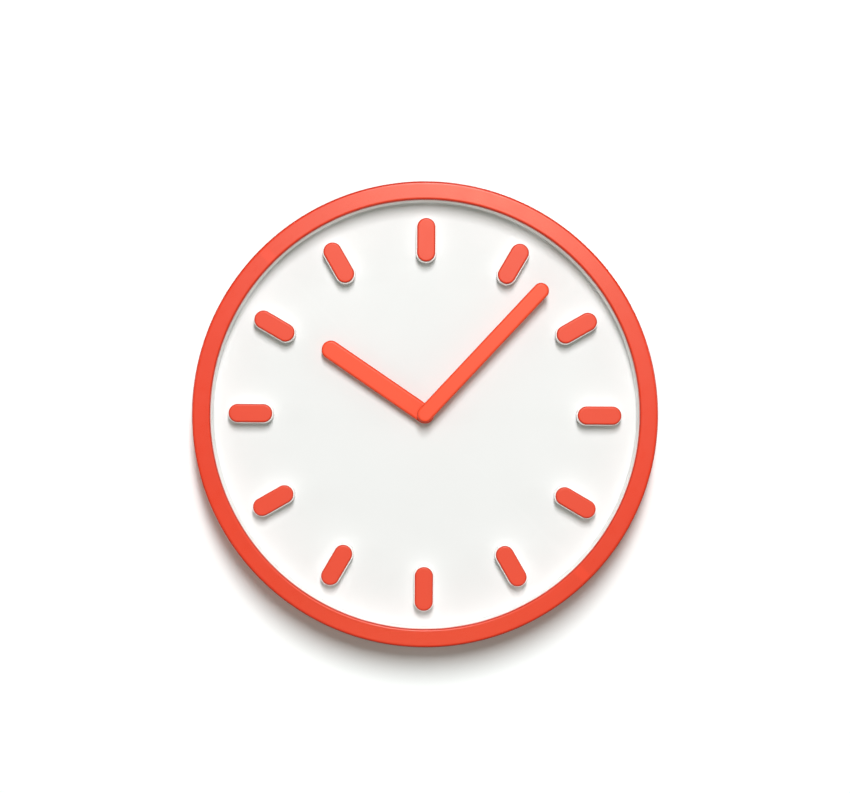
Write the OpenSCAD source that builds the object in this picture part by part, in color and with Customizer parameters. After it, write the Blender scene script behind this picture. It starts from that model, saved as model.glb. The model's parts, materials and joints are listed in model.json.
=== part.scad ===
// Wall clock: moulded case, raised hour markers, two hands and a quartz movement.
// The origin is on the hands' axis, where it meets the wall. +Y goes into the
// wall, +Z is towards twelve o'clock, and +X is towards three o'clock.
// Each module is drawn lying on its back, with its height above the wall along
// z and twelve o'clock along y. hang() then stands it up against the wall.

/* [Case] */
// Outside diameter of the clock
clock_d = 360; // [352:1:368]
// Depth from the wall to the front of the ring
depth = 42; // [41.5:0.5:44]
// Width of the ring's flat front
ring_w = 14.2; // [13:0.1:14.5]
// Wall thickness of the ring
shell_t = 2.5; // [2.2:0.1:2.8]
// Depth of the ring's inner lip
lip_d = 6; // [5:0.5:7]

/* [Dial] */
// Height of the dial's front face above the wall
dial_h = 23; // [22.5:0.5:23]
// Thickness of the dial
dial_t = 2.5; // [2.2:0.1:2.5]
// Distance from the axis to the middle of an hour marker
marker_r = 135.2; // [130:0.1:137]
// Length of an hour marker
marker_len = 33.9; // [30:0.1:34]
// Width of an hour marker
marker_w = 14.2; // [12:0.1:15]
// Thickness of an hour marker
marker_t = 1.8; // [1.6:0.1:1.8]
// Height of the pad under each marker
pad_t = 10.7; // [10:0.1:10.7]

/* [Hands] */
// Distance from the axis to the hour hand's tip
hour_tip = 95.7; // [85:0.1:100]
// Width of the hour hand
hour_w = 14.6; // [13.5:0.1:16]
// Distance from the axis to the minute hand's tip
minute_tip = 137.2; // [125:0.1:145]
// Width of the minute hand
minute_w = 12.4; // [11:0.1:14]
// Thickness of each hand
hand_t = 2.4; // [2.2:0.1:2.4]
// Angle of the hour hand clockwise from twelve o'clock
hour_angle = 304; // [0:0.1:360]
// Angle of the minute hand clockwise from twelve o'clock
minute_angle = 42.8; // [0:0.1:360]

/* [Hidden] */
$fn = 96;

// Case
outer_r = clock_d / 2;
ring_in_r = outer_r - ring_w;
skirt_r = outer_r - 1.5;
ring_round = 2.1;
lip_round = 1.7;
lip_h = depth - lip_d;
wall_t = 2;
dial_wall_r = ring_in_r - 1.5;
dial_wall_top_r = ring_in_r - 0.15;
dial_back_h = dial_h - dial_t;
dial_tail_h = 4.6;
dial_cove = 2;

// Rear cover and its screws
cover_back_h = 2;
cover_front_h = 4.5;
cover_r = skirt_r - shell_t - 0.3;
opening_w = 62;
screw_count = 6;
screw_r = outer_r - 8.3;
screw_turn = 30;
boss_r = 3.2;
shank_r = 1.25;
screw_head_r = 2.7;
screw_clear_r = 1.6;
keyhole_y = 148;
keyhole_r = 4.75;
keyhole_slot_r = 2.25;
keyhole_rise = 11;
bumper_r = 6;
bumper_ring_r = 150;

// Hour markers
pad_top_h = dial_h + pad_t;
marker_round = 1.5;
pad_base_grow = 2;
pad_top_grow = 1.6;
marker_pin_r = 1.2;
marker_pin_gap = 18;

// Hands
hand_round = 1.9;
hour_hand_h = 31.4;
minute_hand_h = 37.9;
hour_sleeve_h = 29.3;
hour_sleeve_r = 4.2;
minute_sleeve_h = 34.2;
minute_sleeve_r = 3.0;
minute_bore_top = 39.3;

// Shafts through the dial
run = 0.05;
arbor_r = 1.7;
arbor_end_r = 1.3;
arbor_seat_r = 1.1;
arbor_shoulder_h = 34.1;
pipe_r = 2.75;
pipe_bore_r = arbor_r + run;
pipe_top_h = 32.9;
bush_r = 4.0;
bush_bore_r = pipe_r + run;
bush_flange_r = 5.5;
bush_top_h = 29;
thread_pitch = 0.7;
thread_turns = 8;
nut_t = 2.2;
washer_t = 0.3;
washer_r = 6.6;
seal_r = 9;

// Movement box
box_w = 56;
box_back_h = 4;
box_front_h = 19.5;
box_wall = 1.2;
box_lid_t = 0.9;
box_corner = 2.5;
lid_back_h = box_front_h - box_lid_t;
floor_h = box_back_h + box_wall;
bay_y = -11.1;
contact_gap = 0.9;
pivot_r = 0.3;
bridge_back_h = 13.2;
bridge_t = 0.8;
bridge_front_h = bridge_back_h + bridge_t;
posts = [[-22, 14], [-20, -6], [14, -8.8], [22.5, 14]];
post_r = 1.6;

// Battery
battery_r = 7.1;
battery_len = 50.5;
battery_nub = 1.3;
battery_y = -19.5;
battery_h = 11.3;

// Gear modules and tooth counts, from the rotor to the hour wheel
rotor_m = 0.25;
rotor_teeth = 8;
mid_teeth = 48;
mid_m = 0.34;
mid_leaves = 8;
sec_teeth = 40;
third_m = 0.2329;
sec_leaves = 8;
third_teeth = 60;
centre_m = 0.22;
third_leaves = 8;
centre_teeth = 64;
motion_m = 0.3;
cannon_teeth = 15;
minute_teeth = 45;
minute_leaves = 12;
hour_teeth = 48;
wheel_share = 0.47;
leaf_share = 0.36;
motion_share = 0.46;
cannon_share = 0.42;
gear_t = 0.5;

// Places of the gear axes, each at its mesh distance and direction
third_dir = 0;
mid_dir = 60;
rotor_dir = 40;
motion_dir = 135;
teeth_to_knob = 20;
knob_dir = motion_dir + 180 - teeth_to_knob * 360 / minute_teeth;
function away(dist, dir) = [dist * cos(dir), dist * sin(dir)];
third_at = away((centre_teeth + third_leaves) * centre_m / 2, third_dir);
mid_at = away((sec_teeth + mid_leaves) * mid_m / 2, mid_dir);
rotor_at = mid_at + away((mid_teeth + rotor_teeth) * rotor_m / 2, rotor_dir);
motion_at = away((minute_teeth + cannon_teeth) * motion_m / 2, motion_dir);
knob_at = motion_at + away((minute_teeth + cannon_teeth) * motion_m / 2, knob_dir);

// Motor
stator_h = 9.8;
stator_t = 0.8;
stator_lo = [-5.5, 8.3];
stator_hi = [19.5, 22.8];
stator_leg = 3.2;
stator_bar = 6.5;
stator_hole_r = 1.9;
magnet_r = 1.3;
core_w = 4;
coil_x = 7;
coil_y = 20.8;
coil_len = 17;
bobbin_r = 3.7;
bobbin_tube_r = 2.5;
winding_r = 3.4;
flange_t = 1;

// Circuit board
board_lo = [16.6, -9];
board_size = [9.2, 20];
board_h = 7;
board_t = 1;

// ---------- shared shapes ----------

// stands a part that lies on its back up against the wall
module hang() {
    rotate([90, 0, 0]) children();
}

// points of an arc about a centre, for a rounded edge in an outline
function arc(c, r, from, to, n = 6) =
    [for (i = [0:n]) [c[0] + r * cos(from + (to - from) * i / n),
                      c[1] + r * sin(from + (to - from) * i / n)]];

// outline of a rectangle with rounded corners
function round_rect(w, l, r) = concat(
    arc([w / 2 - r, l / 2 - r], r, 0, 90),
    arc([r - w / 2, l / 2 - r], r, 90, 180),
    arc([r - w / 2, r - l / 2], r, 180, 270),
    arc([w / 2 - r, r - l / 2], r, 270, 360)
);

// half of a bar's section: widest at the foot, rounded at the front edge
function half_section(foot_r, top_r, t, round_r) = concat(
    [[0, 0], [foot_r, 0]],
    arc([top_r - round_r, t - round_r], round_r, 0, 90),
    [[0, t]]
);

// the whole section, for the bar's straight stretch
function full_section(foot_r, top_r, t, round_r) =
    let (half = half_section(foot_r, top_r, t, round_r), last = len(half) - 1)
    concat([for (i = [1:last]) half[i]], [for (i = [last - 1:-1:1]) [-half[i][0], half[i][1]]]);

// bar of constant width with round ends, centred on x, from y = 0 to y = straight
module round_bar(straight, foot_r, top_r, t, round_r) {
    half = half_section(foot_r, top_r, t, round_r);
    translate([0, straight, 0]) rotate_extrude(angle = 180) polygon(half);
    rotate([0, 0, 180]) rotate_extrude(angle = 180) polygon(half);
    translate([0, straight, 0])
        rotate([90, 0, 0])
            linear_extrude(straight) polygon(full_section(foot_r, top_r, t, round_r));
}

// cylinder between two heights
module rod(r, from, to) {
    translate([0, 0, from]) cylinder(r = r, h = to - from);
}

// ring between two heights
module tube(r, bore, from, to) {
    difference() {
        rod(r, from, to);
        rod(bore, from - 1, to + 1);
    }
}

// angle at which a wheel's tooth flank stands at radius r, from an epicycloid
function flank(r, pitch_r, roll_r) =
    let (k = (pitch_r + roll_r) / roll_r,
         c = (pow(pitch_r + roll_r, 2) + roll_r * roll_r - r * r) / (2 * (pitch_r + roll_r) * roll_r),
         t = roll_r / pitch_r * acos(max(-1, min(1, c))),
         x = (pitch_r + roll_r) * cos(t) - roll_r * cos(k * t),
         y = (pitch_r + roll_r) * sin(t) - roll_r * sin(k * t))
    atan2(y, x);

// outline of a wheel with clock teeth, one tooth pointing along x
function wheel_outline(teeth, m, leaves, share) =
    let (pitch_r = teeth * m / 2,
         half = share * 180 / teeth,
         root_r = pitch_r - 1.1 * m,
         side = [for (f = [0, 0.3, 0.65, 1])
             let (r = pitch_r + 1.1 * m * f)
             [r, min(flank(r, pitch_r, leaves * m / 4), half * 0.97)]])
    [for (i = [0:teeth - 1]) let (mid = i * 360 / teeth)
        each concat(
            [away(root_r, mid - half)],
            [for (j = [0:3]) away(side[j][0], mid - half + side[j][1])],
            [for (j = [3:-1:0]) away(side[j][0], mid + half - side[j][1])],
            [away(root_r, mid + half)]
        )];

// outline of a pinion with rounded leaves, one leaf pointing along x
function leaf_outline(leaves, m, share) =
    let (pitch_r = leaves * m / 2,
         half = share * 180 / leaves,
         root_r = pitch_r - 1.4 * m,
         side = [[0, 1], [0.5, 0.82], [0.85, 0.5], [1, 0.2]])
    [for (i = [0:leaves - 1]) let (mid = i * 360 / leaves)
        each concat(
            [away(root_r, mid - half)],
            [for (s = side) away(pitch_r + 0.6 * m * s[0], mid - half * s[1])],
            [for (j = [3:-1:0]) away(pitch_r + 0.6 * m * side[j][0], mid + half * side[j][1])],
            [away(root_r, mid + half)]
        )];

// toothed disc between two heights, with a tooth pointing in the direction dir
module wheel(teeth, m, leaves, share, dir, from, to) {
    translate([0, 0, from])
        rotate([0, 0, dir])
            linear_extrude(to - from) polygon(wheel_outline(teeth, m, leaves, share));
}

// pinion between two heights, with a gap facing against the direction dir
module pinion(leaves, m, share, dir, from, to) {
    translate([0, 0, from])
        rotate([0, 0, dir + 180 + 180 / leaves])
            linear_extrude(to - from) polygon(leaf_outline(leaves, m, share));
}

// arbor with a pivot at each end, between the floor and the bridge
module arbor(r) {
    rod(pivot_r, floor_h - 0.5, bridge_front_h - 0.1);
    rod(r, floor_h + 0.2, bridge_back_h - 0.2);
}

// places of the cover's screws
module at_screws() {
    for (i = [0:screw_count - 1])
        rotate([0, 0, screw_turn + i * 360 / screw_count]) translate([screw_r, 0, 0]) children();
}

// places of the hour markers, numbered clockwise from one o'clock
module at_hour(i) {
    rotate([0, 0, -30 * i]) translate([0, marker_r, 0]) children();
}

// ---------- case ----------

module bezel() {
    front = concat(
        [[skirt_r - shell_t, 0], [skirt_r, 0]],
        arc([outer_r - ring_round, depth - ring_round], ring_round, 0, 90),
        arc([ring_in_r + lip_round, depth - lip_round], lip_round, 90, 180),
        [[ring_in_r, lip_h], [ring_in_r + shell_t, lip_h]],
        [[ring_in_r + shell_t, depth - shell_t], [outer_r - shell_t, depth - shell_t]]
    );
    color([0.92, 0.28, 0.2]) hang() difference() {
        union() {
            rotate_extrude($fn = 180) polygon(front);
            at_screws() rod(boss_r, cover_front_h, depth - shell_t + 0.5);
        }
        at_screws() rod(shank_r, cover_front_h - 1, cover_front_h + 14);
    }
}

module dial() {
    tray = [
        [0, dial_back_h],
        [dial_wall_r, dial_back_h],
        [dial_wall_r, dial_tail_h],
        [dial_wall_r + wall_t, dial_tail_h],
        [dial_wall_top_r + wall_t, lip_h],
        [dial_wall_top_r, lip_h]
    ];
    // small cove between the dial's face and its wall
    cove = arc([dial_wall_r - dial_cove, dial_h + dial_cove], dial_cove, 0, -90);
    foot = (marker_w + pad_base_grow) / 2;
    top = (marker_w + pad_top_grow) / 2;
    straight = marker_len - marker_w;
    color([0.97, 0.96, 0.94]) hang() difference() {
        union() {
            rotate_extrude($fn = 180) polygon(concat(tray, cove, [[0, dial_h]]));
            for (i = [1:12])
                at_hour(i)
                    translate([0, -straight / 2, dial_h - 0.1])
                        round_bar(straight, foot, top, pad_t + 0.1, 0.3);
        }
        for (i = [1:12])
            at_hour(i)
                for (s = [-0.5, 0.5])
                    translate([0, s * marker_pin_gap, 0])
                        rod(marker_pin_r + run, dial_back_h - 1, pad_top_h + 1);
        rod(bush_r + 0.2, dial_back_h - 1, dial_h + 1);
    }
}

module hour_marker(i) {
    straight = marker_len - marker_w;
    color([0.94, 0.33, 0.25]) hang() at_hour(i) {
        translate([0, -straight / 2, pad_top_h])
            round_bar(straight, marker_w / 2, marker_w / 2, marker_t, marker_round);
        for (s = [-0.5, 0.5])
            translate([0, s * marker_pin_gap, 0])
                rod(marker_pin_r, dial_back_h - 0.4, pad_top_h + 0.5);
    }
}

module rear_cover() {
    frame_w = opening_w + 6;
    color([0.85, 0.25, 0.18]) hang() difference() {
        union() {
            rod(cover_r, cover_back_h, cover_front_h);
            // raised frame round the movement, and a raised ring for stiffness
            translate([0, 0, cover_back_h - 1])
                linear_extrude(1.5) polygon(round_rect(frame_w, frame_w, 4));
            tube(118, 116, cover_back_h - 1, cover_back_h + 0.5);
            // raised pad round the keyhole
            translate([0, keyhole_y + keyhole_rise / 2, cover_back_h - 0.6])
                linear_extrude(1) polygon(round_rect(20, 28, 5));
        }
        translate([0, 0, -1])
            linear_extrude(cover_front_h + 4) polygon(round_rect(opening_w, opening_w, 3));
        translate([0, keyhole_y, 0]) rod(keyhole_r, cover_back_h - 1, cover_front_h + 1);
        translate([-keyhole_slot_r, keyhole_y, cover_back_h - 1])
            cube([2 * keyhole_slot_r, keyhole_rise, cover_front_h - cover_back_h + 2]);
        translate([0, keyhole_y + keyhole_rise, 0])
            rod(keyhole_slot_r, cover_back_h - 1, cover_front_h + 1);
        at_screws() {
            rod(screw_clear_r, cover_back_h - 1, cover_front_h + 1);
            translate([0, 0, cover_back_h])
                cylinder(r1 = screw_head_r + run, r2 = screw_clear_r, h = 1.5);
        }
    }
}

module cover_screws() {
    color([0.75, 0.75, 0.77]) hang() at_screws() difference() {
        union() {
            translate([0, 0, cover_back_h + 0.1])
                cylinder(r1 = screw_head_r - run, r2 = shank_r, h = 1.5);
            rod(shank_r, cover_back_h + 1, cover_front_h + 9);
        }
        // cross recess in the head
        for (turn = [0, 90])
            rotate([0, 0, turn]) translate([-1.6, -0.35, cover_back_h - 0.5]) cube([3.2, 0.7, 1.4]);
    }
}

module wall_bumpers() {
    color([0.2, 0.2, 0.21]) hang()
        for (i = [0:3])
            rotate([0, 0, 45 + 90 * i])
                translate([bumper_ring_r, 0, 0])
                    rotate_extrude()
                        polygon(concat(
                            [[0, 0]],
                            arc([bumper_r - 0.8, 0.8], 0.8, 270, 360, 4),
                            [[bumper_r, cover_back_h], [0, cover_back_h]]
                        ));
}

// ---------- hands ----------

module hour_hand() {
    color([1, 0.38, 0.28]) hang() rotate([0, 0, -hour_angle]) difference() {
        union() {
            translate([0, 0, hour_hand_h])
                round_bar(hour_tip - hour_w / 2, hour_w / 2, hour_w / 2, hand_t, hand_round);
            rod(hour_sleeve_r, hour_sleeve_h, hour_hand_h + 0.5);
        }
        rod(pipe_r, hour_sleeve_h - 1, pipe_top_h);
        rod(arbor_r + 0.4, hour_sleeve_h, hour_hand_h + hand_t + 1);
    }
}

module minute_hand() {
    color([1, 0.38, 0.28]) hang() rotate([0, 0, -minute_angle]) difference() {
        union() {
            translate([0, 0, minute_hand_h])
                round_bar(minute_tip - minute_w / 2, minute_w / 2, minute_w / 2, hand_t, hand_round);
            rod(minute_sleeve_r, minute_sleeve_h, minute_hand_h + 0.5);
        }
        rod(arbor_end_r, minute_sleeve_h - 1, minute_bore_top);
    }
}

// ---------- fixing of the movement to the dial ----------

module mounting_nut() {
    nut_h = dial_h + washer_t;
    color([0.82, 0.68, 0.36]) hang() difference() {
        intersection() {
            translate([0, 0, nut_h]) cylinder(r = 6.35, h = nut_t, $fn = 6);
            // corners turned down at the front
            translate([0, 0, nut_h]) cylinder(r1 = 7.6, r2 = 5.9, h = nut_t);
        }
        rod(bush_r, nut_h - 1, nut_h + nut_t + 1);
    }
}

module dial_washer() {
    color([0.8, 0.8, 0.82]) hang() tube(washer_r, bush_r + 0.1, dial_h, dial_h + washer_t);
}

module rubber_washer() {
    color([0.15, 0.15, 0.16]) hang() tube(seal_r, bush_r + 0.1, box_front_h, dial_back_h);
}

module threaded_bush() {
    color([0.82, 0.68, 0.36]) hang() difference() {
        union() {
            rod(bush_flange_r, lid_back_h - 0.7, lid_back_h);
            rod(bush_r - 0.35, lid_back_h - 0.2, bush_top_h);
            rod(bush_r, lid_back_h - 0.2, dial_h);
            // thread as plain rings
            for (i = [1:thread_turns])
                rod(bush_r, dial_h + (i - 0.5) * thread_pitch, dial_h + i * thread_pitch);
        }
        rod(bush_bore_r, lid_back_h - 2, bush_top_h + 1);
    }
}

// ---------- movement box ----------

module movement_case() {
    inner = box_w - 2 * box_wall;
    bay_wall_h = lid_back_h - floor_h;
    color([0.16, 0.16, 0.17]) hang() difference() {
        union() {
            difference() {
                translate([0, 0, box_back_h])
                    linear_extrude(lid_back_h - box_back_h)
                        polygon(round_rect(box_w, box_w, box_corner));
                translate([0, 0, floor_h])
                    linear_extrude(20) polygon(round_rect(inner, inner, box_corner - box_wall));
                // battery bay, open to the back
                translate([-inner / 2, -inner / 2 + 0.2, box_back_h - 1])
                    cube([inner, bay_y - box_wall + inner / 2 - 0.2, 4]);
            }
            // wall between the battery bay and the wheels
            translate([contact_gap - inner / 2, bay_y - box_wall, box_back_h])
                cube([inner - 2 * contact_gap, box_wall, bay_wall_h + box_wall]);
            for (p = posts) translate(p) rod(post_r, floor_h - 0.5, bridge_back_h);
            for (x = [1.6, 7.6]) translate([board_lo[0] + x, 0, 0]) rod(1, floor_h - 0.5, board_h);
            translate(knob_at) rod(2.6, floor_h - 0.5, floor_h + 0.8);
        }
        translate(knob_at) rod(1.3 + run, box_back_h - 1, floor_h + 2);
        for (p = [[0, 0], third_at, mid_at, rotor_at])
            translate(p) rod(pivot_r + run, floor_h - 0.6, floor_h + 1);
        // finger notch beside the battery
        translate([0, -box_w / 2, box_back_h - 1]) rod(9, 0, 3);
        // shallow recess round the setting knob
        translate(knob_at) rod(7.5, box_back_h - 1, box_back_h + 0.3);
    }
}

module movement_front_cover() {
    color([0.2, 0.2, 0.21]) hang() difference() {
        union() {
            translate([0, 0, lid_back_h])
                linear_extrude(box_lid_t) polygon(round_rect(box_w, box_w, box_corner));
            // snap tabs over the sides of the box
            for (x = [-1, 1])
                for (y = [-14, 14])
                    translate([x * (box_w / 2 + 0.55) - 0.5, y - 3, lid_back_h - 5])
                        cube([1, 6, 5 + box_lid_t]);
            for (x = [-1, 1])
                for (y = [-14, 14])
                    translate([x * (box_w / 2 + 0.3) - 0.8, y - 3, lid_back_h])
                        cube([1.6, 6, box_lid_t]);
        }
        rod(bush_r, lid_back_h - 1, box_front_h + 1);
    }
}

module bridge_plate() {
    color([0.93, 0.93, 0.9]) hang() difference() {
        union() {
            translate([0, 2.8, bridge_back_h])
                linear_extrude(bridge_t) polygon(round_rect(48, 25.6, 2));
            translate(motion_at) rod(0.8, bridge_front_h - 0.2, 17.7);
        }
        rod(arbor_r + run, bridge_back_h - 1, bridge_front_h + 1);
        translate(knob_at) rod(1.3 + run, bridge_back_h - 1, bridge_front_h + 1);
        for (p = [third_at, mid_at, rotor_at])
            translate(p) rod(pivot_r + run, bridge_back_h - 1, bridge_front_h + 1);
    }
}

// ---------- battery and its contacts ----------

module battery() {
    start = -battery_len / 2;
    color([0.3, 0.3, 0.32]) hang() translate([0, battery_y, battery_h]) rotate([0, 90, 0]) {
        rod(battery_r, start, start + battery_len - battery_nub);
        rod(2.7, start + battery_len - battery_nub - 0.5, start + battery_len);
    }
}

module positive_contact() {
    wall_x = box_w / 2 - box_wall;
    color([0.8, 0.8, 0.82]) hang() {
        translate([wall_x - 0.4, battery_y - 5, 7]) cube([0.4, 10, 9]);
        translate([wall_x - 0.4, battery_y + 5, 10]) cube([0.4, 11, 3]);
        // raised dimple that meets the cell
        translate([wall_x - 0.4, battery_y, battery_h])
            rotate([0, -90, 0]) cylinder(r1 = 3, r2 = 2, h = 1.1);
    }
}

module negative_contact() {
    wall_x = box_w / 2 - box_wall;
    leaf = [
        [-wall_x, battery_y - 5], [-wall_x + 0.35, battery_y - 5],
        [-wall_x + 0.35, battery_y - 3.2], [-wall_x + 1.5, battery_y],
        [-wall_x + 1.5, battery_y + 0.8], [-wall_x + 0.35, battery_y + 4],
        [-wall_x + 0.35, bay_y + 0.35], [12, bay_y + 0.35],
        [12, bay_y + 0.7], [-wall_x, bay_y + 0.7]
    ];
    color([0.8, 0.8, 0.82]) hang()
        translate([0, 0, 9]) linear_extrude(4) polygon(leaf);
}

// ---------- electronics ----------

module circuit_board() {
    color([0.12, 0.42, 0.24]) hang() difference() {
        translate([board_lo[0], board_lo[1], board_h]) cube([board_size[0], board_size[1], board_t]);
        for (y = [-7.4, 9.4])
            translate([board_lo[0] + 4.6, y, 0]) rod(0.8, board_h - 1, board_h + board_t + 1);
    }
}

module driver_chip() {
    blob_r = 5;
    blob_h = 1.1;
    color([0.08, 0.08, 0.09]) hang()
        translate([board_lo[0] + 4.4, -3, board_h + board_t + blob_h - blob_r])
            intersection() {
                sphere(r = blob_r);
                rod(blob_r, blob_r - blob_h, blob_r + 1);
            }
}

module quartz_crystal() {
    color([0.78, 0.78, 0.8]) hang()
        translate([board_lo[0] + 4.4, 1.4, board_h + board_t + 1.05])
            rotate([-90, 0, 0]) {
                rod(1, 0, 6);
                rod(1.05, 0, 0.5);
            }
}

// ---------- motor ----------

module coil_core() {
    color([0.55, 0.55, 0.57]) hang()
        translate([stator_lo[0], coil_y - core_w / 2, stator_h - 0.8])
            cube([stator_hi[0] - stator_lo[0], core_w, 0.8]);
}

module coil_bobbin() {
    color([0.9, 0.9, 0.86]) hang()
        translate([coil_x - coil_len / 2, coil_y, stator_h - 0.4]) difference() {
            rotate([0, 90, 0]) {
                rod(bobbin_r, 0, flange_t);
                rod(bobbin_tube_r, 0, coil_len);
                rod(bobbin_r, coil_len - flange_t, coil_len);
            }
            translate([-1, -core_w / 2, -0.4]) cube([coil_len + 2, core_w, 0.8]);
        }
}

module coil_winding() {
    color([0.72, 0.4, 0.18]) hang()
        translate([coil_x - coil_len / 2, coil_y, stator_h - 0.4])
            rotate([0, 90, 0]) tube(winding_r, bobbin_tube_r, flange_t, coil_len - flange_t);
}

module stator() {
    wide = stator_hi[0] - stator_lo[0];
    tall = stator_hi[1] - stator_lo[1];
    color([0.62, 0.62, 0.64]) hang() difference() {
        translate([stator_lo[0], stator_lo[1], stator_h]) cube([wide, tall, stator_t]);
        translate([stator_lo[0] + stator_leg, stator_lo[1] + stator_bar, stator_h - 1])
            cube([wide - 2 * stator_leg, tall, stator_t + 2]);
        translate(rotor_at) rod(stator_hole_r, stator_h - 1, stator_h + 2);
        // narrow necks that steer the flux through the rotor
        for (s = [-1, 1])
            translate([rotor_at[0] - 0.5, rotor_at[1] + s * 3.3 - 0.9, stator_h - 1])
                cube([1, 1.8, stator_t + 2]);
    }
}

module rotor() {
    color([0.95, 0.95, 0.93]) hang() translate(rotor_at) {
        arbor(0.4);
        pinion(rotor_teeth, rotor_m, leaf_share, rotor_dir, 6.9, 8.6);
    }
}

module rotor_magnet() {
    color([0.35, 0.35, 0.37]) hang() translate(rotor_at) tube(magnet_r, 0.4, 8.9, 11.1);
}

// ---------- going train ----------

module intermediate_wheel() {
    color([0.95, 0.95, 0.93]) hang() translate(mid_at) {
        arbor(0.5);
        pinion(mid_leaves, mid_m, leaf_share, mid_dir, 6.2, 7.6);
        wheel(mid_teeth, rotor_m, rotor_teeth, wheel_share, rotor_dir, 7.5, 7.5 + gear_t);
    }
}

module seconds_wheel() {
    color([0.95, 0.95, 0.93]) hang() {
        rod(pivot_r, floor_h - 0.5, 11);
        rod(0.45, floor_h + 0.2, 10.1);
        wheel(sec_teeth, mid_m, mid_leaves, wheel_share, mid_dir, 6.6, 6.6 + gear_t);
        pinion(sec_leaves, third_m, leaf_share, third_dir + 180, 7, 9.8);
    }
}

module third_wheel() {
    color([0.95, 0.95, 0.93]) hang() translate(third_at) {
        arbor(0.5);
        wheel(third_teeth, third_m, sec_leaves, wheel_share, third_dir + 180, 8.6, 8.6 + gear_t);
        pinion(third_leaves, centre_m, leaf_share, third_dir, 9, 12.3);
    }
}

module centre_wheel() {
    color([0.82, 0.68, 0.36]) hang() difference() {
        union() {
            wheel(centre_teeth, centre_m, third_leaves, wheel_share, third_dir, 11, 11 + gear_t);
            rod(2, 10.7, 12.1);
        }
        rod(arbor_seat_r, 10, 13);
    }
}

module minute_arbor() {
    color([0.82, 0.68, 0.36]) hang() difference() {
        union() {
            rod(arbor_seat_r, 10.4, 12.4);
            rod(arbor_r, 12.2, arbor_shoulder_h);
            rod(arbor_end_r, arbor_shoulder_h - 0.2, minute_bore_top);
            pinion(cannon_teeth, motion_m, cannon_share, motion_dir + 180, 14.3, 15.8);
        }
        rod(pivot_r + run, 10, 11.6);
    }
}

// ---------- motion work ----------

module minute_wheel() {
    color([0.95, 0.95, 0.93]) hang() translate(motion_at) difference() {
        union() {
            wheel(minute_teeth, motion_m, cannon_teeth, motion_share, motion_dir + 180, 14.7, 15.3);
            pinion(minute_leaves, motion_m, cannon_share, motion_dir, 15.2, 17.4);
            rod(1.3, 14.2, 15);
        }
        rod(0.8 + run, 14, 18);
    }
}

module hour_wheel() {
    color([0.95, 0.95, 0.93]) hang() difference() {
        union() {
            wheel(hour_teeth, motion_m, minute_leaves, motion_share, motion_dir, 16.2, 16.9);
            rod(3.6, 16.4, 17.6);
            rod(pipe_r, 16.4, pipe_top_h);
        }
        rod(pipe_bore_r, 15, pipe_top_h + 1);
    }
}

module setting_arbor() {
    color([0.95, 0.95, 0.93]) hang() translate(knob_at) {
        rod(1.3, 2.2, 16.2);
        rod(2, floor_h + 1, floor_h + 1.6);
        pinion(cannon_teeth, motion_m, cannon_share, knob_dir, 14.2, 15.7);
    }
}

module setting_knob() {
    knob_r = 6;
    color([0.95, 0.95, 0.93]) hang() translate(knob_at) difference() {
        union() {
            rod(knob_r, 1.4, 3.6);
            rod(2.4, 3.4, 3.9);
        }
        rod(1.3, 2.2, 5);
        // finger grooves round the rim
        for (i = [0:17])
            rotate([0, 0, 20 * i]) translate([knob_r + 0.25, 0, 0]) rod(0.7, 1, 5);
        // shallow recess in the middle of the face
        rod(3.2, 1, 1.8);
    }
}

bezel();
dial();
for (i = [1:12]) hour_marker(i);
hour_hand();
minute_hand();
rear_cover();
cover_screws();
wall_bumpers();
mounting_nut();
dial_washer();
rubber_washer();
movement_case();
movement_front_cover();
threaded_bush();
bridge_plate();
battery();
positive_contact();
negative_contact();
circuit_board();
driver_chip();
quartz_crystal();
coil_bobbin();
coil_winding();
coil_core();
stator();
rotor();
rotor_magnet();
intermediate_wheel();
seconds_wheel();
third_wheel();
centre_wheel();
minute_arbor();
minute_wheel();
hour_wheel();
setting_arbor();
setting_knob();
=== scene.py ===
import json
import math

import bmesh
import bpy
from mathutils import Matrix, Vector


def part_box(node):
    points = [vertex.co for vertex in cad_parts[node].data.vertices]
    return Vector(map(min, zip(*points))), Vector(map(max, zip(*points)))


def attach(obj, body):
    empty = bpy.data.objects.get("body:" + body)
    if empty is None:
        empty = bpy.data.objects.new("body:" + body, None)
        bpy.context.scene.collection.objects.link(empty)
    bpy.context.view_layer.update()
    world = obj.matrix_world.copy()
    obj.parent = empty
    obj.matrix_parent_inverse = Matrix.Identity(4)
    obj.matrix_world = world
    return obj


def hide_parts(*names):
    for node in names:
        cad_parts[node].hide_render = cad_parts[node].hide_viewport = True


# Visual model of a wall clock. All lengths are metres, in the frame of the packed
# part: the wall is at y = 0, +Y goes into it, +Z is towards twelve o'clock and +X
# towards three. A height "h" is measured from the wall, so a point's y is -h.

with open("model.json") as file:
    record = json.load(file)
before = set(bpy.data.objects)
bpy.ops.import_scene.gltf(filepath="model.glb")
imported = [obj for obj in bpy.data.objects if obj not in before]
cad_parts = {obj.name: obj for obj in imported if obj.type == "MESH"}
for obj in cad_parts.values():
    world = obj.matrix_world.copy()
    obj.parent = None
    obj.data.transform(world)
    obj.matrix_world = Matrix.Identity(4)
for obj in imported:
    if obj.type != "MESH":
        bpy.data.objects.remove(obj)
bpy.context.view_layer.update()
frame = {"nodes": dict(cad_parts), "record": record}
MM = 0.001


# ---------- places and sizes, worked out from the frame ----------

def heights(node):
    """Lowest and highest height of a node above the wall."""
    low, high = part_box(node)
    return -high.y, -low.y


# small flat strip beside a rounded edge, which keeps the flat behind it evenly shaded
SOFT = 0.15 * MM

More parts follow.
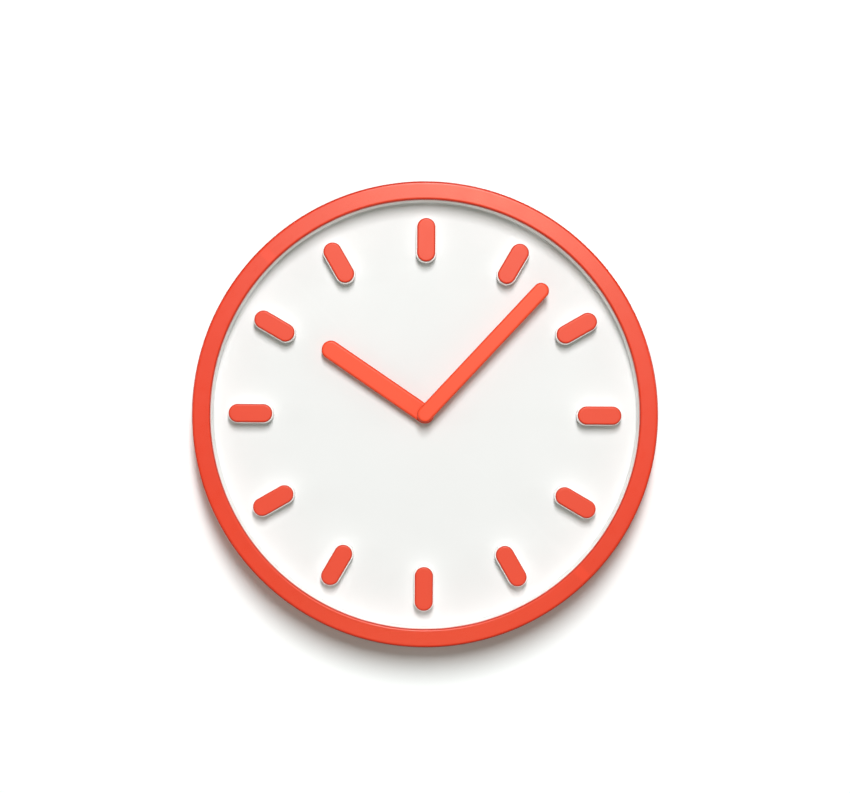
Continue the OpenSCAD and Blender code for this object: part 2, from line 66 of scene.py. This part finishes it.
# ring
OUTER_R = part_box("bezel")[1].x
FRONT_H = heights("bezel")[1]
RING_W = 14.2 * MM
RING_IN_R = OUTER_R - RING_W
SHELL = 2.5 * MM
SKIRT_R = OUTER_R - 1.5 * MM
LIP_H = heights("dial")[1]
BOSS_R = 3.2 * MM
BOSS_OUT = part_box("cover_screws")[1].z - 2.65 * MM
BOSS_FOOT_H = heights("cover_screws")[0] - 0.1 * MM + SHELL

# dial: a tray whose wall leans out a little towards the ring's lip
DIAL_H = heights("dial_washer")[0]
DIAL_BACK_H = heights("rubber_washer")[1]
DIAL_TAIL_H = heights("dial")[0]
DIAL_HOLE_R = 4.2 * MM
DIAL_WALL = 2.0 * MM
DIAL_WALL_R = RING_IN_R - 1.0 * MM
DIAL_TOP_R = RING_IN_R - 0.15 * MM

# hour markers, with their pads on the dial
MARKER_LOW, MARKER_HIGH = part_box("hour_marker_12")
MARKER_OUT = (MARKER_LOW.z + MARKER_HIGH.z) / 2
MARKER_W = MARKER_HIGH.x - MARKER_LOW.x
MARKER_STRAIGHT = MARKER_HIGH.z - MARKER_LOW.z - MARKER_W
MARKER_TOP_H = heights("hour_marker_12")[1]
MARKER_FOOT_H = MARKER_TOP_H - 1.8 * MM
PAD_FOOT_R = MARKER_W / 2 + 0.8 * MM
PAD_TOP_R = MARKER_W / 2 + 0.6 * MM
PIN_R = 1.2 * MM
PIN_OUT = 9.0 * MM

# hands
MINUTE_ANGLE = math.radians(42.8)
MINUTE_W, MINUTE_TIP = 12.4 * MM, 137.2 * MM
HOUR_ANGLE = math.radians(304)
HOUR_W, HOUR_TIP = 14.6 * MM, 95.7 * MM
HAND_T = 2.4 * MM


# ---------- mesh helpers ----------

def stand(x, y, h):
    """A point of the clock lying on its back, given in the part's own frame."""
    return (x, -h, y)


def make_object(name, verts, faces):
    """Mesh object with outward faces, smooth except at sharp edges."""
    mesh = bpy.data.meshes.new(name)
    mesh.from_pydata([Vector(v) for v in verts], [], faces)
    bm = bmesh.new()
    bm.from_mesh(mesh)
    bmesh.ops.remove_doubles(bm, verts=bm.verts, dist=1e-7)
    bmesh.ops.recalc_face_normals(bm, faces=bm.faces)
    bm.to_mesh(mesh)
    bm.free()
    mesh.shade_smooth()
    mesh.set_sharp_from_angle(angle=math.radians(40))
    obj = bpy.data.objects.new(name, mesh)
    bpy.context.scene.collection.objects.link(obj)
    return obj


def arc(cx, cy, r, start, end, steps):
    """Points of an arc in a profile, angles in degrees."""
    out = []
    for i in range(steps + 1):
        a = math.radians(start + (end - start) * i / steps)
        out.append((cx + r * math.cos(a), cy + r * math.sin(a)))
    return out


def lathe(profile, segments, closed=True):
    """Vertices and faces of a profile of (radius, height) turned about the hands' axis."""
    verts = []
    for i in range(segments):
        a = 2 * math.pi * i / segments
        verts += [stand(r * math.cos(a), r * math.sin(a), h) for r, h in profile]
    n = len(profile)
    faces = []
    for i in range(segments):
        j = (i + 1) % segments
        for k in range(n if closed else n - 1):
            m = (k + 1) % n
            faces.append((i * n + k, i * n + m, j * n + m, j * n + k))
    return verts, faces


def stadium_ring(straight, r, h, steps=32):
    """One ring of points round a bar that runs from y = 0 to y = straight."""
    out = []
    for start, middle in ((0.0, straight), (math.pi, 0.0)):
        for i in range(steps + 1):
            a = start + math.pi * i / steps
            out.append(stand(r * math.cos(a), middle + r * math.sin(a), h))
    return out


def bar(straight, profile, hole=(), through=False):
    """Closed bar with round ends, from a profile of (radius, height), foot first.

    hole is the profile of a round hole about the middle of the bar's lower round end. It
    starts inside the bar, or at the front where the hole goes through, and ends at the foot.
    """
    sides = [stadium_ring(straight, r, h) for r, h in profile]
    walls = [stadium_ring(0.0, r, h) for r, h in hole]
    rings = sides + walls if through else walls + sides
    n = len(rings[0])
    verts = [p for ring in rings for p in ring]
    faces = []
    for k in range(len(rings) if through else len(rings) - 1):
        m = (k + 1) % len(rings)
        for i in range(n):
            j = (i + 1) % n
            faces.append((k * n + i, k * n + j, m * n + j, m * n + i))
    if not through:
        faces += [tuple(range(n)), tuple(range(len(verts) - n, len(verts)))]
    return verts, faces


def add(parts):
    """Joins several (vertices, faces) into one."""
    verts, faces = [], []
    for v, f in parts:
        base = len(verts)
        verts += v
        faces += [tuple(i + base for i in face) for face in f]
    return verts, faces


def moved(part, matrix):
    """A (vertices, faces) pair with a matrix applied."""
    verts, faces = part
    return [tuple(matrix @ Vector(v)) for v in verts], faces


def along(z):
    """Matrix that moves a part along twelve o'clock."""
    return Matrix.Translation((0, 0, z))


def turned(angle, out=0.0):
    """Matrix that pushes a part out along twelve o'clock and then turns it clockwise."""
    return Matrix.Rotation(angle, 4, "Y") @ along(out)


def edge_profile(r, low, high, rounding):
    """Side of a bar: straight flank, rounded front edge, and a strip of the flat front."""
    soft = 0.12 * MM
    front = arc(r - rounding, high - rounding, rounding, 0, 90, 8)
    return [(r, low), (r, low + soft)] + front + [(r - rounding - soft, high)]


def disc(r, low, high, chamfer, segments=48):
    """Closed turned pin with chamfered ends."""
    profile = [(0.0, low), (r - chamfer, low), (r, low + chamfer),
               (r, high - chamfer), (r - chamfer, high), (0.0, high)]
    return lathe(profile, segments, closed=False)


# ---------- materials ----------

class Nodes:
    """Material with one principled shader, and short calls that add nodes to it."""

    def __init__(self, name):
        self.material = bpy.data.materials.new(name)
        self.material.use_nodes = True
        self.tree = self.material.node_tree
        self.tree.nodes.clear()
        self.out = self.new("ShaderNodeOutputMaterial")
        self.shader = self.new("ShaderNodeBsdfPrincipled")
        self.link(self.shader.outputs["BSDF"], self.out.inputs["Surface"])
        self.where = self.new("ShaderNodeTexCoord").outputs["Object"]

    def new(self, kind):
        return self.tree.nodes.new(kind)

    def link(self, a, b):
        self.tree.links.new(a, b)

    def noise(self, scale, detail, rough, vector=None):
        node = self.new("ShaderNodeTexNoise")
        node.inputs["Scale"].default_value = scale
        node.inputs["Detail"].default_value = detail
        node.inputs["Roughness"].default_value = rough
        self.link(vector or self.where, node.inputs["Vector"])
        return node.outputs["Fac"]

    def stretch(self, x, y, z):
        node = self.new("ShaderNodeMapping")
        node.inputs["Scale"].default_value = (x, y, z)
        self.link(self.where, node.inputs["Vector"])
        return node.outputs["Vector"]

    def remap(self, value, low, high, out_low, out_high):
        node = self.new("ShaderNodeMapRange")
        ends = {"From Min": low, "From Max": high, "To Min": out_low, "To Max": out_high}
        for key, v in ends.items():
            node.inputs[key].default_value = v
        self.link(value, node.inputs["Value"])
        return node.outputs["Result"]

    def axis(self, vector, name):
        """One of the parts X, Y or Z of a vector."""
        node = self.new("ShaderNodeSeparateXYZ")
        self.link(vector, node.inputs["Vector"])
        return node.outputs[name]

    def mix(self, factor, a, b):
        node = self.new("ShaderNodeMix")
        node.data_type = "RGBA"
        self.link(factor, node.inputs["Factor"])
        colours = [s for s in node.inputs if s.type == "RGBA"]
        for socket, v in zip(colours, (a, b)):
            if isinstance(v, tuple):
                socket.default_value = (*v, 1.0)
            else:
                self.link(v, socket)
        return [s for s in node.outputs if s.type == "RGBA"][0]

    def math(self, what, a, b):
        node = self.new("ShaderNodeMath")
        node.operation = what
        for i, v in enumerate((a, b)):
            if isinstance(v, (int, float)):
                node.inputs[i].default_value = v
            else:
                self.link(v, node.inputs[i])
        return node.outputs["Value"]

    def bump(self, height, strength, distance):
        node = self.new("ShaderNodeBump")
        node.inputs["Strength"].default_value = strength
        node.inputs["Distance"].default_value = distance
        self.link(height, node.inputs["Height"])
        self.link(node.outputs["Normal"], self.shader.inputs["Normal"])

    def set(self, **values):
        for key, v in values.items():
            self.shader.inputs[key.replace("_", " ")].default_value = v


def shade(colour, factor):
    """A colour made lighter or darker."""
    return tuple(min(1.0, c * factor) for c in colour)


def moulded(name, colour, rough, grain=0.35 * MM, bump=0.25, spread=0.05, wear=1.25,
            gloss=0.5, painted_edge_shade=0.0, bare_and_lit=None, painted_light_from=0.0):
    """Moulded plastic: slight cloudiness, fine grain, worn lighter edges.

    grain is the size of the surface's grain, and spread how much the colour varies. rim
    is painted shade: how much deeper the colour is made along the front's rounded edges.
    A colour bare is painted light on all that rises more than painted_light_from above the wall.
    """
    n = Nodes(name)
    cloud = n.remap(n.noise(14, 4, 0.6), 0.3, 0.7, 0, 1)
    tint = n.mix(cloud, shade(colour, 1 - spread), shade(colour, 1 + spread))
    point = n.new("ShaderNodeNewGeometry").outputs["Pointiness"]
    tint = n.mix(n.remap(point, 0.53, 0.62, 0, 0.35), tint, shade(colour, wear))
    # painted shade: the front's rounded edges are darkened towards a deeper red, fading out on the
    # flat front and on the flank
    if painted_edge_shade:
        # the normal's y is -1 on the flat front and 0 on the flank
        slope = n.axis(n.new("ShaderNodeTexCoord").outputs["Normal"], "Y")
        off_front = n.remap(slope, -0.92, -0.6, 0, painted_edge_shade)
        off_flank = n.remap(slope, -0.25, -0.02, 1, 0)
        tint = n.mix(n.math("MULTIPLY", off_front, off_flank), tint, shade(colour, 0.5))
    # painted light: all that rises more than the given height above the wall is painted the lighter
    # colour, with a short fade below that height
    if bare_and_lit:
        fade = 1.3 * MM
        tint = n.mix(n.remap(n.axis(n.where, "Y"), -painted_light_from, -painted_light_from - fade, 0, 1), tint, bare_and_lit)
    n.link(tint, n.shader.inputs["Base Color"])
    fine = n.noise(1 / grain, 3, 0.6)
    flow = n.noise(1.0, 3, 0.55, n.stretch(90, 30, 90))
    uneven = n.math("ADD", n.remap(fine, 0.3, 0.7, rough - 0.04, rough + 0.05),
                    n.remap(flow, 0.3, 0.7, -0.02, 0.02))
    n.link(uneven, n.shader.inputs["Roughness"])
    n.bump(n.math("ADD", fine, n.math("MULTIPLY", flow, 0.6)), bump, grain * 0.12)
    n.set(IOR=1.5, Specular_IOR_Level=gloss)
    return n.material


def metal(name, colour, rough, lines=(40, 900, 900), bump=0.2):
    """Metal with drawn lines, tarnish patches and uneven gloss."""
    n = Nodes(name)
    drawn = n.noise(1.0, 3, 0.6, n.stretch(*lines))
    patches = n.noise(220, 4, 0.6)
    tint = n.mix(n.remap(patches, 0.35, 0.7, 0, 1), colour, shade(colour, 0.78))
    n.link(tint, n.shader.inputs["Base Color"])
    uneven = n.math("ADD", n.remap(drawn, 0.3, 0.7, rough - 0.08, rough + 0.1),
                    n.remap(patches, 0.3, 0.7, -0.03, 0.05))
    n.link(uneven, n.shader.inputs["Roughness"])
    n.bump(drawn, bump, 0.03 * MM)
    n.set(Metallic=1.0)
    return n.material


def cell(name, colour, band, ends):
    """Sleeve of a dry cell: a pale band near its plus end, bare metal at both ends."""
    band_from, band_to, sleeve_half = 17.2 * MM, 20.6 * MM, 23.6 * MM
    n = Nodes(name)
    x = n.axis(n.where, "X")
    scuff = n.noise(160, 4, 0.6)
    tint = n.mix(n.remap(scuff, 0.35, 0.7, 0, 1), colour, shade(colour, 1.5))
    in_band = n.math("MULTIPLY", n.math("GREATER_THAN", x, band_from),
                     n.math("LESS_THAN", x, band_to))
    tint = n.mix(in_band, tint, band)
    bare_and_lit = n.math("GREATER_THAN", n.math("ABSOLUTE", x, 0), sleeve_half)
    n.link(n.mix(bare_and_lit, tint, ends), n.shader.inputs["Base Color"])
    n.link(bare_and_lit, n.shader.inputs["Metallic"])
    n.link(n.remap(scuff, 0.3, 0.7, 0.2, 0.34), n.shader.inputs["Roughness"])
    n.bump(scuff, 0.2, 0.05 * MM)
    return n.material


RED = (0.72, 0.041, 0.014)
RED_HAND = (0.85, 0.073, 0.027)
RED_MARK = (0.73, 0.06, 0.028)
# the dial's flat face keeps this greyer white; its wall and the pads above the corner's cove are
# painted a lighter white as painted light, and the cove at the wall's foot stays greyer as painted
# shade
WHITE = (0.757, 0.756, 0.762)
LIT_RISE_WHITE = (0.97, 0.96, 0.945)
mats = {
    "red_shell": moulded("red_abs", RED, rough=0.3, spread=0.02, gloss=0.28, painted_edge_shade=0.7),
    "marker_red": moulded("marker_abs", RED_MARK, rough=0.36, spread=0.02, gloss=0.2, painted_edge_shade=0.7),
    "hand_red": moulded("hand_abs", RED_HAND, rough=0.36, spread=0.02, gloss=0.2, painted_edge_shade=0.35),
    "dial_white": moulded("dial_abs", WHITE, rough=0.5, spread=0.008, wear=1.02, gloss=0.12,
                          bare_and_lit=LIT_RISE_WHITE, painted_light_from=DIAL_H + 1.2 * MM),
    "case_black": moulded("movement_abs", (0.016, 0.016, 0.017), rough=0.5, grain=0.5 * MM,
                          bump=0.7, wear=2.2),
    "bridge_plastic": moulded("bridge_abs", (0.72, 0.72, 0.68), rough=0.45, spread=0.02, wear=1.1),
    "gear_acetal": moulded("acetal", (0.80, 0.80, 0.76), rough=0.38, spread=0.02, wear=1.1),
    "rubber_black": moulded("rubber", (0.02, 0.02, 0.021), rough=0.75, grain=0.6 * MM,
                            bump=0.6, wear=1.8),
    "screw_steel": metal("zinc_screw", (0.5, 0.51, 0.53), rough=0.4, lines=(700, 700, 700)),
    "washer_steel": metal("washer_steel", (0.72, 0.72, 0.73), rough=0.32),
    "brass": metal("turned_brass", (0.76, 0.56, 0.26), rough=0.28, lines=(300, 2500, 300)),
    "contact_nickel": metal("nickel_strip", (0.72, 0.71, 0.68), rough=0.25),
    "crystal_can": metal("plated_can", (0.74, 0.74, 0.74), rough=0.22, lines=(1500, 1500, 120)),
    "magnet_ferrite": metal("sintered_magnet", (0.22, 0.22, 0.23), rough=0.5,
                            lines=(900, 900, 900)),
    "lamination": metal("lamination_steel", (0.46, 0.46, 0.47), rough=0.4, lines=(60, 1500, 900)),
    "copper_wire": metal("copper_winding", (0.75, 0.27, 0.10), rough=0.28,
                         lines=(5000, 40, 40), bump=0.8),
    "board_green": moulded("solder_mask", (0.012, 0.13, 0.045), rough=0.28, grain=0.8 * MM,
                           spread=0.15, wear=1.4),
    "epoxy_black": moulded("epoxy", (0.008, 0.008, 0.009), rough=0.2, grain=1.2 * MM,
                           bump=0.15, wear=1.6),
    "cell_wrap": cell("cell_sleeve", (0.03, 0.07, 0.14), (0.5, 0.51, 0.52), (0.7, 0.7, 0.69)),
}
slot_of = {row["node"]: row["material_slot"] for row in frame["record"]["subparts"]}


def finish_piece(obj, node, body):
    """Gives a piece its material and its body, and hides the CAD node that it stands for."""
    obj.data.materials.clear()
    obj.data.materials.append(mats[slot_of[node]])
    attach(obj, body)
    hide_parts(node)
    return obj


# ---------- case ----------

def make_bezel():
    """Red ring with a hollow back, a skirt to the wall, and six bosses for the screws."""
    foot_round, outer_round, lip_round, lip_edge = 0.5 * MM, 2.1 * MM, 1.7 * MM, 0.25 * MM
    foot_edge = 0.4 * MM
    profile = [(SKIRT_R - SHELL, foot_edge), (SKIRT_R - SHELL + foot_edge, 0.0),
               (SKIRT_R - foot_round, 0.0)]
    profile += arc(SKIRT_R - foot_round, foot_round, foot_round, 270, 360, 4)[1:]
    profile += arc(OUTER_R - outer_round, FRONT_H - outer_round, outer_round, 0, 90, 10)
    profile += [(OUTER_R - outer_round - SOFT, FRONT_H), (RING_IN_R + lip_round + SOFT, FRONT_H)]
    profile += arc(RING_IN_R + lip_round, FRONT_H - lip_round, lip_round, 90, 180, 10)
    profile += [(RING_IN_R, FRONT_H - lip_round - SOFT), (RING_IN_R, LIP_H + lip_edge),
                (RING_IN_R + lip_edge, LIP_H), (RING_IN_R + SHELL, LIP_H),
                (RING_IN_R + SHELL, FRONT_H - SHELL), (OUTER_R - SHELL, FRONT_H - SHELL)]
    parts = [lathe(profile, 360)]
    boss = disc(BOSS_R, BOSS_FOOT_H, FRONT_H - SHELL + 0.5 * MM, 0.3 * MM)
    for i in range(6):
        parts.append(moved(boss, turned(math.radians(60 * i), BOSS_OUT)))
    return finish_piece(make_object("bezel_ring", *add(parts)), "bezel", "case")


def make_dial():
    """White tray with a hole for the bush, a rounded corner and twelve pads."""
    corner, hole_edge = 1.2 * MM, 0.3 * MM
    profile = [(DIAL_HOLE_R, DIAL_BACK_H), (DIAL_WALL_R, DIAL_BACK_H), (DIAL_WALL_R, DIAL_TAIL_H),
               (DIAL_WALL_R + DIAL_WALL, DIAL_TAIL_H),
               (DIAL_TOP_R + DIAL_WALL, LIP_H), (DIAL_TOP_R, LIP_H),
               (DIAL_WALL_R + 0.06 * MM, DIAL_H + corner)]
    profile += arc(DIAL_WALL_R - corner, DIAL_H + corner, corner, 0, -90, 6)
    profile += [(DIAL_WALL_R - corner - SOFT, DIAL_H), (DIAL_WALL_R / 2, DIAL_H),
                (DIAL_HOLE_R + hole_edge, DIAL_H), (DIAL_HOLE_R, DIAL_H - hole_edge)]
    parts = [lathe(profile, 360)]
    # each pad grows out of the dial through a small blend
    blend, top_round, sunk = 0.2 * MM, 0.3 * MM, 0.2 * MM
    side = [(PAD_FOOT_R + blend, DIAL_H - sunk), (PAD_FOOT_R + blend, DIAL_H + 0.01 * MM)]
    side += arc(PAD_FOOT_R + blend, DIAL_H + blend, blend, 270, 180, 5)[1:]
    side += arc(PAD_TOP_R - top_round, MARKER_FOOT_H - top_round, top_round, 0, 90, 4)
    pad = moved(bar(MARKER_STRAIGHT, side), along(-MARKER_STRAIGHT / 2))
    for i in range(12):
        parts.append(moved(pad, turned(math.radians(30 * i), MARKER_OUT)))
    return finish_piece(make_object("dial_tray", *add(parts)), "dial", "case")


def make_markers():
    """Twelve red bars, each on two pins that go through its pad."""
    side = edge_profile(MARKER_W / 2, MARKER_FOOT_H, MARKER_TOP_H, 1.5 * MM)
    block = moved(bar(MARKER_STRAIGHT, side), along(-MARKER_STRAIGHT / 2))
    pin = disc(PIN_R, DIAL_BACK_H - 0.4 * MM, MARKER_FOOT_H + 0.5 * MM, 0.2 * MM, 32)
    marker = add([block] + [moved(pin, along(s)) for s in (-PIN_OUT, PIN_OUT)])
    for i in range(1, 13):
        whole = moved(marker, turned(math.radians(30 * i), MARKER_OUT))
        finish_piece(make_object(f"marker_block_{i}", *whole), f"hour_marker_{i}", "case")


# ---------- hands ----------

def sleeve_ring(r, bore, low, high):
    """Short tube behind a hand, with its back edges broken."""
    edge = 0.25 * MM
    profile = [(bore + edge, low), (r - edge, low), (r, low + edge), (r, high), (bore, high),
               (bore, low + edge)]
    return lathe(profile, 64)


def make_hand(name, node, body, angle, width, tip, low, sleeve, hole, through=False):
    """Hand with its round hub end on the pivot, and a sleeve that reaches back to its pipe."""
    side = edge_profile(width / 2, low, low + HAND_T, 1.9 * MM)
    parts = [bar(tip - width / 2, side, hole, through), sleeve]
    whole = moved(add(parts), turned(angle))
    return finish_piece(make_object(name, *whole), node, body)


def make_hands():
    sunk = 0.2 * MM
    # the hour hand sits on a pipe that ends inside it, and the arbor goes on through the front
    foot, front = heights("hour_hand")
    low = front - HAND_T
    pipe_r, pipe_end, arbor_hole = 2.75 * MM, heights("hour_wheel")[1], 2.1 * MM
    sleeve = sleeve_ring(4.2 * MM, pipe_r, foot, low + sunk)
    hole = [(arbor_hole, front), (arbor_hole, pipe_end), (pipe_r, pipe_end), (pipe_r, low)]
    make_hand("hour_hand_bar", "hour_hand", "hour_group", HOUR_ANGLE, HOUR_W, HOUR_TIP, low,
              sleeve, hole, through=True)
    # the minute hand covers the arbor's end
    foot, front = heights("minute_hand")
    low = front - HAND_T
    arbor_r, arbor_end = 1.3 * MM, heights("minute_arbor")[1]
    sleeve = sleeve_ring(3.0 * MM, arbor_r, foot, low + sunk)
    hole = [(arbor_r, arbor_end), (arbor_r, low)]
    make_hand("minute_hand_bar", "minute_hand", "minute_group", MINUTE_ANGLE, MINUTE_W,
              MINUTE_TIP, low, sleeve, hole)


# ---------- pieces that keep their CAD form, with rounded edges ----------

def refine(node, body, width):
    """Copies a CAD node's solid and rounds its edges, so that they catch the light."""
    mesh = frame["nodes"][node].data.copy()
    mesh.name = node + "_rounded"
    bm = bmesh.new()
    bm.from_mesh(mesh)
    bmesh.ops.remove_doubles(bm, verts=bm.verts, dist=1e-6)
    bmesh.ops.dissolve_limit(bm, angle_limit=math.radians(0.5), verts=bm.verts, edges=bm.edges)
    bm.to_mesh(mesh)
    bm.free()
    # normals that came with the CAD mesh no longer fit its faces
    stale = mesh.attributes.get("custom_normal")
    if stale:
        mesh.attributes.remove(stale)
    mesh.shade_smooth()
    obj = bpy.data.objects.new(node + "_rounded", mesh)
    bpy.context.scene.collection.objects.link(obj)
    rounding = obj.modifiers.new("rounding", "BEVEL")
    rounding.width = width
    rounding.segments = 3
    rounding.limit_method = "ANGLE"
    rounding.angle_limit = math.radians(35)
    flats = obj.modifiers.new("flats", "WEIGHTED_NORMAL")
    flats.weight = 100
    return finish_piece(obj, node, body)


def make_refined():
    """Covers, case, knob, cell and pads, each with its edge's width in mm."""
    for node, body, width in (("rear_cover", "case", 0.35), ("movement_case", "case", 0.25),
                              ("setting_knob", "setting_body", 0.15),
                              ("wall_bumpers", "case", 0.2),
                              ("movement_front_cover", "case", 0.2), ("battery", "case", 0.4)):
        refine(node, body, width * MM)


def dress_cad_nodes():
    """Gives every CAD node its material."""
    for node, obj in frame["nodes"].items():
        material = mats[slot_of[node]]
        if not obj.data.materials:
            obj.data.materials.append(material)
        for slot in obj.material_slots:
            slot.material = material


# ---------- stage, lights and camera ----------

def plain(name, colour):
    """Matt paint, as nodes that can be added to."""
    n = Nodes(name)
    cloud = n.noise(3, 2, 0.5)
    n.link(n.mix(cloud, shade(colour, 0.995), colour), n.shader.inputs["Base Color"])
    n.set(Roughness=0.9, Specular_IOR_Level=0.1)
    return n


def plane(name, matrix, nodes, half=6.0):
    """Large square of the stage, which faces the matrix's own +Z."""
    mesh = bpy.data.meshes.new(name)
    corners = [(-half, -half, 0), (half, -half, 0), (half, half, 0), (-half, half, 0)]
    mesh.from_pydata(corners, [], [(0, 1, 2, 3)])
    obj = bpy.data.objects.new(name, mesh)
    obj.matrix_world = matrix
    bpy.context.scene.collection.objects.link(obj)
    mesh.materials.append(nodes.material)
    return obj


def area_light(name, where, size, size_y, power, colour=(1, 1, 1)):
    """Rectangular light that looks at the clock's middle."""
    data = bpy.data.lights.new(name, "AREA")
    data.shape = "RECTANGLE"
    data.size, data.size_y = size, size_y
    data.energy = power
    data.color = colour
    obj = bpy.data.objects.new(name, data)
    obj.location = where
    obj.rotation_mode = "QUATERNION"
    obj.rotation_quaternion = (-Vector(where)).to_track_quat("-Z", "Y")
    bpy.context.scene.collection.objects.link(obj)
    return obj


def make_stage():
    # the wall shows its front only, so the clock's back can be looked at through it
    wall = plain("wall_paint", (0.95, 0.98, 0.99))
    clear = wall.new("ShaderNodeBsdfTransparent")
    either = wall.new("ShaderNodeMixShader")
    wall.link(wall.new("ShaderNodeNewGeometry").outputs["Backfacing"], either.inputs[0])
    wall.link(wall.shader.outputs["BSDF"], either.inputs[1])
    wall.link(clear.outputs["BSDF"], either.inputs[2])
    wall.link(either.outputs["Shader"], wall.out.inputs["Surface"])
    upright = Matrix.Translation((0, 0.5 * MM, 0)) @ Matrix.Rotation(math.radians(90), 4, "X")
    board = plane("wall", upright, wall)
    board.visible_shadow = False
    board.visible_diffuse = False
    board.visible_glossy = False
    floor = plain("floor_paint", (0.35, 0.35, 0.36))
    # the camera sees the floor as pale, also behind the wall, where the soft box doesn't reach
    seen = floor.new("ShaderNodeLightPath").outputs["Is Camera Ray"]
    floor.link(floor.math("MULTIPLY", seen, 0.62), floor.shader.inputs["Emission Strength"])
    floor.set(Emission_Color=(1.0, 1.0, 1.0, 1.0))
    ground = plane("floor", along(-1.6), floor)
    ground.visible_diffuse = False


def make_world():
    """Weak even fill light, which the camera sees as pale grey."""
    world = bpy.data.worlds.new("studio")
    world.use_nodes = True
    bpy.context.scene.world = world
    tree = world.node_tree
    tree.nodes.clear()
    out = tree.nodes.new("ShaderNodeOutputWorld")
    fill = tree.nodes.new("ShaderNodeBackground")
    fill.inputs["Color"].default_value = (0.93, 1, 0.86, 1)
    fill.inputs["Strength"].default_value = 0.265
    seen = tree.nodes.new("ShaderNodeBackground")
    seen.inputs["Color"].default_value = (0.9, 0.9, 0.9, 1)
    either = tree.nodes.new("ShaderNodeMixShader")
    path = tree.nodes.new("ShaderNodeLightPath")
    tree.links.new(path.outputs["Is Camera Ray"], either.inputs[0])
    tree.links.new(fill.outputs[0], either.inputs[1])
    tree.links.new(seen.outputs[0], either.inputs[2])
    tree.links.new(either.outputs[0], out.inputs["Surface"])


def in_front(rise, side, reach):
    """Point in front of the clock, rise degrees up and side degrees to the right."""
    rise, side = math.radians(rise), math.radians(side)
    return Vector((math.sin(side), -math.cos(rise), math.sin(rise))) * reach


def make_lights():
    # tall soft box above the camera and a little to the right
    area_light("key", in_front(25.2, 2, 4.0), 0.55, 2.0, 158)
    # two small glossy-only lights, which draw the sheen on the ring's top and bottom
    for name, rise, side, power in (("sheen", 15, 4, 11), ("sheen_low", -14, 0, 3)):
        where = in_front(rise, side, 2.2)
        light = area_light(name, where, 0.3, 0.3, power, (1.0, 0.97, 0.55))
        light.visible_diffuse = False
    # on both sides: low ones in front for the dial's wall, level ones behind for the case's flank
    for name, side in (("right", 1), ("left", -1)):
        area_light("low_" + name, (2.4 * side, -0.9, 0.25), 0.8, 0.8, 5)
        area_light("flank_" + name, (2.2 * side, 0.5, 0.3), 1.0, 1.0, 13)
    # two behind the wall, for the clock's back
    area_light("back", (0.7, 2.4, 0.9), 1.2, 1.2, 36)
    area_light("back_low", (-0.8, 2.3, -0.1), 1.2, 1.2, 16)


def make_camera():
    """Straight in front, with the clock a little below the picture's middle and turned a little."""
    data = bpy.data.cameras.new("camera")
    cam = bpy.data.objects.new("camera", data)
    bpy.context.scene.collection.objects.link(cam)
    reach, lean = 2.0, math.radians(-0.4)
    # the clock's width and its drop below the middle, as shares of the picture's width
    width_share, drop_share = 0.5485, 0.021
    # the ring is widest where its front edge's rounding begins
    edge_away = reach - (FRONT_H - 2 * MM)
    data.sensor_width = 36
    data.lens = data.sensor_width * width_share * edge_away / (2 * OUTER_R)
    data.shift_y = drop_share
    data.clip_end = 50
    cam.location = (0, -reach, 0)
    cam.rotation_euler = (math.radians(90), lean, 0)
    bpy.context.scene.camera = cam


make_bezel()
make_dial()
make_markers()
make_hands()
make_refined()
dress_cad_nodes()
make_stage()
make_world()
make_lights()
make_camera()
bpy.context.scene.view_settings.view_transform = "Standard"
bpy.context.scene.view_settings.look = "None"
